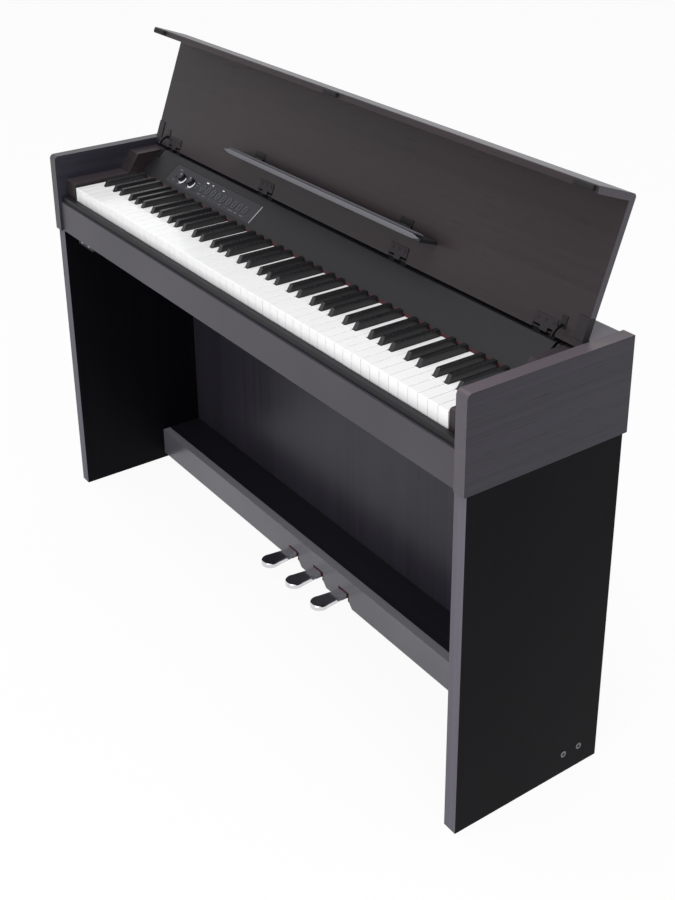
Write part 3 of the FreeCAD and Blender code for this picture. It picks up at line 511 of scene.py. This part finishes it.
dashLook = {"below": -0.0145, "above": 0.0150, "thin": 0.0006, "knobDrop": -0.0150,
            "lengths": [0.0052, 0.0056, 0.0010, 0.0012, 0.0046, 0.0012, 0.0080, 0.0052, 0.0052],
            "knobHalf": 0.0044, "power": [(-0.0115, 0.0036, 0.0006), (0.0150, 0.0062, 0.0008)],
            "groupShift": 0.001, "groupHalf": 0.0056, "groupTall": 0.0005, "groupSteps": (-0.006, 0.0, 0.006),
            "brightShift": 0.001, "bright": [(0, 0.0044, 0.0013), (1, 0.0024, 0.0008), (3, 0.0034, 0.0010)]}
lines = [(x, up + dashLook["below"], half, dashLook["thin"])
         for (x, up), half in zip(buttonPlaces, dashLook["lengths"])]
lines += [(x, up + dashLook["knobDrop"], dashLook["knobHalf"], dashLook["thin"]) for x, up in knobPlaces]
powerX, powerUp = centerOf("power_button")
lines += [(powerX, powerUp + step, half, tall) for step, half, tall in dashLook["power"]]
groupX = (knobPlaces[1][0] + buttonPlaces[0][0]) / 2
lines += [(groupX - dashLook["groupShift"], powerUp + step, dashLook["groupHalf"], dashLook["groupTall"])
          for step in dashLook["groupSteps"]]
dashes("plateMarks", lines, ink)
brightLines = [(buttonPlaces[i][0] + dashLook["brightShift"], buttonPlaces[i][1] + dashLook["above"], half, tall)
               for i, half, tall in dashLook["bright"]]
dashes("brightMarks", brightLines, brightInkAndHighlight)
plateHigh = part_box("control_plate")[1]
upMiddle, upHalf = sum(plateUp) / 2, (plateUp[1] - plateUp[0]) / 2 - 0.0015
# painted highlight: a bright line along the plate's right edge
dashes("plateEdgeHighlight", [(plateHigh[0] - 0.0016, upMiddle, 0.0005, upHalf)], brightInkAndHighlight)
for name, (x, up) in zip(("volume_knob", "tone_knob"), knobPlaces):
    knobTop = (pointsOf(name) @ outward).max() - plateLevel
    dashes(name + "Pointer", [(x, up + 0.0045, 0.0005, 0.0025)], brightInkAndHighlight, name, knobTop)


# painted highlights: a bright crescent round each knob, standing in for the shine on the knob's rim; it swells from
# nothing to full width and back
def highlightCrescent(x, up, radius, widest, start, turn, columns=36):
    t = np.linspace(0.0, 1.0, columns)
    angle = start + turn * t
    width = widest * np.sin(math.pi * t) ** 0.6 + 0.00005
    rows = []
    for share, out in ((0, -markLook["sunk"]), (1, -markLook["sunk"]), (1, markLook["thick"]), (0, markLook["thick"])):
        reach = radius + share * width
        rows.append(onPlate(x + reach * np.cos(angle), up + reach * np.sin(angle), np.full(columns, out)))
    return np.concatenate(rows)


knobRadius = (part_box("volume_knob")[1][0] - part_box("volume_knob")[0][0]) / 2
knobHighlightLook = {"clear": 0.0006, "widest": 0.0042, "start": -2.1, "turn": 2.6}
knobHighlights = [highlightCrescent(x, up, knobRadius + knobHighlightLook["clear"], knobHighlightLook["widest"], knobHighlightLook["start"], knobHighlightLook["turn"])
         for x, up in knobPlaces]
newPiece("knobPaintedHighlights", *joined(knobHighlights, 4, 36, False), "cabinet", brightInkAndHighlight, "control_plastic")


# the ledge's grips: a flat oval section carried along the ledge, drawn in at both ends; their pale grey stands in for
# the light caught on the ledge's front and top faces, a painted highlight
gripLook = {"color": tone(92, 92, 97), "fleck": tone(108, 108, 113), "inset": 0.004, "rise": 0.0008,
            "frontInset": 0.0009, "topBack": 0.0100, "topHalf": 0.0080}
ledgePoints = pointsOf("music_ledge")
lidFaces = nodes["lid_panel"].data.polygons
faceAreas = np.empty(len(lidFaces))
lidFaces.foreach_get("area", faceAreas)
widestFace = lidFaces[int(faceAreas.argmax())]
lidOut = np.array(widestFace.normal) * (-1 if widestFace.normal[1] > 0 else 1)
lidUp = np.cross(lidOut, along)
ledgeX = ledgePoints[:, 0].min() + gripLook["inset"], ledgePoints[:, 0].max() - gripLook["inset"]
ledgeOut = (ledgePoints @ lidOut).max()
ledgeUp = (ledgePoints @ lidUp).min(), (ledgePoints @ lidUp).max()


def grip(out, up, outHalf, upHalf, rows=16, columns=40):
    t = 2 * math.pi * np.arange(rows) / rows
    u = np.linspace(0.0, 1.0, columns)
    full = np.maximum(1 - (2 * u - 1) ** 30, 0.02) ** 0.5
    x = ledgeX[0] + (ledgeX[1] - ledgeX[0]) * u + 0 * t[:, None]
    outs = out + outHalf * np.cos(t)[:, None] * full
    ups = up + upHalf * np.sin(t)[:, None] * full
    return (x[..., None] * along + outs[..., None] * lidOut + ups[..., None] * lidUp).reshape(-1, 3)


# painted highlight: the grips' pale grey colour
gripPaintedHighlight = mouldedPlastic("gripPaintedHighlight", dict(
    plasticLook, color=gripLook["color"], fleck=gripLook["fleck"], roughness=0.6))
ledgeMiddle = sum(ledgeUp) / 2
grips = [grip(ledgeOut, ledgeMiddle, gripLook["rise"], (ledgeUp[1] - ledgeUp[0]) / 2 - gripLook["frontInset"]),
         grip(ledgeOut - gripLook["topBack"], ledgeUp[1], gripLook["topHalf"], gripLook["rise"])]
newPiece("ledgeGrips", *joined(grips, 16, 40, False), "music_ledge", gripPaintedHighlight, "control_plastic")


screwLook = {"color": (0.2, 0.2, 0.21, 1), "dip": 0.16, "dipWidth": 0.12, "dome": 0.45, "backRadius": 0.004,
             "backInset": (0.018, 0.02), "backCount": (9, 5), "rearRadius": 0.0035, "rearInset": (0.03, 0.015),
             "rearCount": 7}


# domed screw heads: rings of a dome with a crossed dip, then a rim that goes into the board
def screwHeads(name, places, radius, body, material):
    rings, spokes = 9, 24
    reach = np.append(np.linspace(0.0, 1.0, rings - 1), 1.0)
    ring, spoke = np.meshgrid(reach, np.arange(spokes) / spokes * 2 * math.pi, indexing="ij")
    across, down = ring * np.cos(spoke), ring * np.sin(spoke)
    near = np.minimum(abs(across), abs(down)) / screwLook["dipWidth"]
    dip = screwLook["dip"] * np.exp(-near ** 2) * (ring < 0.7)
    height = np.sqrt(1 - 0.92 * ring ** 2) * screwLook["dome"] - dip
    height[-1] = -0.1
    heads = [np.stack([x - across * radius, y + height * radius, z + down * radius], -1).reshape(-1, 3)
             for x, y, z in places]
    i, j = np.meshgrid(np.arange(rings - 1), np.arange(spokes), indexing="ij")
    on = (j + 1) % spokes
    corners = [i * spokes + j, i * spokes + on, (i + 1) * spokes + on, (i + 1) * spokes + j]
    quads = np.stack(corners, -1).reshape(-1, 4)
    faces = [(quad + n * rings * spokes).tolist() for n in range(len(places)) for quad in quads[spokes:]]
    tips = [[n * rings * spokes, n * rings * spokes + spokes + k, n * rings * spokes + spokes + (k + 1) % spokes]
            for n in range(len(places)) for k in range(spokes)]
    rims = [list(range((n + 1) * rings * spokes - spokes, (n + 1) * rings * spokes)) for n in range(len(places))]
    newPiece(name, np.concatenate(heads), faces + tips + rims, body, material, "steel")


screwSteel = metal("screwSteel", screwLook["color"], 0.3, (900, 60, 900), 0.00002)
backLow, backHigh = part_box("back_panel")
insetX, insetZ = screwLook["backInset"]
columnsAt = np.linspace(backLow[0] + insetX, backHigh[0] - insetX, screwLook["backCount"][0])
rowsAt = np.linspace(backLow[2] + insetZ, backHigh[2] - insetZ, screwLook["backCount"][1])
backPlaces = [(x, backHigh[1], z) for x in columnsAt for z in (rowsAt[0], rowsAt[-1])]
backPlaces += [(x, backHigh[1], z) for x in (columnsAt[0], columnsAt[-1]) for z in rowsAt[1:-1]]
screwHeads("backPanelScrews", backPlaces, screwLook["backRadius"], "cabinet", screwSteel)
rearLow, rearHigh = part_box("rear_board")
insetX, insetZ = screwLook["rearInset"]
rearPlaces = [(x, rearHigh[1], z)
              for x in np.linspace(rearLow[0] + insetX, rearHigh[0] - insetX, screwLook["rearCount"])
              for z in (rearLow[2] + insetZ, rearHigh[2] - insetZ)]
screwHeads("rearBoardScrews", rearPlaces, screwLook["rearRadius"], "cabinet", screwSteel)


ringLook = {"clear": 0.0003, "width": 0.0022, "depthShare": 0.35}


# a turned ring about the y direction: a rounded section carried round a circle
def bushings(name, places, radius, width, body):
    t, s = np.meshgrid(np.arange(12) / 12 * 2 * math.pi, np.arange(32) / 32 * 2 * math.pi, indexing="ij")
    reach = radius + width / 2 + width / 2 * np.cos(t)
    depth = width * ringLook["depthShare"] * np.sin(t)
    turned = [np.stack([x + reach * np.cos(s), y + depth, z + reach * np.sin(s)], -1).reshape(-1, 3)
              for x, y, z in places]
    newPiece(name, *joined(turned, 12, 32), body, ringSteel, "steel")


ringSteel = metal("ringSteel", (0.6, 0.6, 0.62, 1), 0.16, (900, 60, 900), 0.00001)
mounts = {m["name"]: m for m in frame["record"]["mounts"]}
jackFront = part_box("headphone_jacks")[0][1]
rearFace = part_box("rear_sockets")[1][1]


def mountPlaces(names, y):
    return [(mounts[n]["pos_m"][0], y, mounts[n]["pos_m"][2]) for n in names]


def ringRadius(name):
    return mounts[name]["dims"]["r_mm"] / 1000 + ringLook["clear"]


bushings("headphoneRings", mountPlaces(["headphone_socket_left", "headphone_socket_right"], jackFront),
         ringRadius("headphone_socket_left"), ringLook["width"], "cabinet")
bushings("rearSocketRings", mountPlaces(["pedal_socket", "power_inlet", "line_socket"], rearFace),
         ringRadius("pedal_socket"), ringLook["width"], "cabinet")
print("small pieces made")


roomLook = {"floor": (0.93, 0.93, 0.93, 1), "floorShare": 0.93, "world": 0.55, "key": 46.0, "fill": 48.0}


def room():
    floorMesh = bpy.data.meshes.new("floor")
    reach = 9.0
    corner = np.array([[-reach, -reach], [reach, -reach], [reach, reach], [-reach, reach]])
    floorMesh.from_pydata([(x, y, -0.0005) for x, y in corner], [], [(0, 1, 2, 3)])
    floor = bpy.data.objects.new("floor", floorMesh)
    bpy.context.scene.collection.objects.link(floor)
    finish = Finish("floorPaper")
    paper = finish.node("ShaderNodeBsdfDiffuse", None, {"Color": roomLook["floor"]})
    glow = finish.node("ShaderNodeEmission", None, {"Color": (1, 1, 1, 1), "Strength": 1.0})
    share = finish.seenWhite() * roomLook["floorShare"]
    mixed = finish.node("ShaderNodeMixShader", None, {0: share, 1: paper.outputs[0], 2: glow.outputs[0]})
    finish.tree.links.new(mixed.outputs[0], finish.out.inputs[0])
    floorMesh.materials.append(finish.material)

    world = bpy.data.worlds.new("studio")
    bpy.context.scene.world = world
    world.use_nodes = True
    sky = Finish("studio", world.node_tree, "ShaderNodeOutputWorld")
    soft = sky.node("ShaderNodeBackground", None, {"Color": (1, 1, 1, 1), "Strength": roomLook["world"]})
    white = sky.node("ShaderNodeBackground", None, {"Color": (1, 1, 1, 1), "Strength": 1.0})
    mixed = sky.node("ShaderNodeMixShader", None, {0: sky.seenWhite(), 1: soft.outputs[0], 2: white.outputs[0]})
    sky.tree.links.new(mixed.outputs[0], sky.out.inputs[0])


def lamp(name, spot, aim, width, height, power):
    data = bpy.data.lights.new(name, "AREA")
    data.shape = "RECTANGLE"
    data.size = width
    data.size_y = height
    data.energy = power
    made = bpy.data.objects.new(name, data)
    bpy.context.scene.collection.objects.link(made)
    made.location = spot
    made.rotation_euler = (Vector(aim) - Vector(spot)).to_track_quat("-Z", "Y").to_euler()


room()
lamp("frontBox", (1.7, -3.2, 1.3), (0.2, 0, 0.45), 2.4, 1.8, roomLook["key"])
lamp("topBox", (0.3, -0.5, 3.2), (0.1, 0, 0.5), 2.6, 1.6, roomLook["fill"])

cameraLook = {"place": (1.909, -1.242, 1.643), "azimuth": 54.91, "elevation": 23.82, "roll": -0.53,
              "focal": 1352.4, "shift": -0.16, "sensor": 36.0, "frameHeight": 900}


# turned by its azimuth and elevation, then rolled about its own line of sight
def makeCamera():
    data = bpy.data.cameras.new("camera")
    made = bpy.data.objects.new("camera", data)
    bpy.context.scene.collection.objects.link(made)
    data.sensor_width = cameraLook["sensor"]
    data.lens = cameraLook["focal"] / cameraLook["frameHeight"] * cameraLook["sensor"]
    data.shift_y = cameraLook["shift"]
    data.clip_end = 60
    turn = Matrix.Rotation(math.radians(cameraLook["azimuth"]), 4, "Z")
    tilt = Matrix.Rotation(math.radians(90 - cameraLook["elevation"]), 4, "X")
    roll = Matrix.Rotation(math.radians(cameraLook["roll"]), 4, "Z")
    made.matrix_world = Matrix.Translation(cameraLook["place"]) @ turn @ tilt @ roll
    bpy.context.scene.camera = made


makeCamera()
bpy.context.scene.view_settings.view_transform = "Standard"
print("room, lamps and camera set")
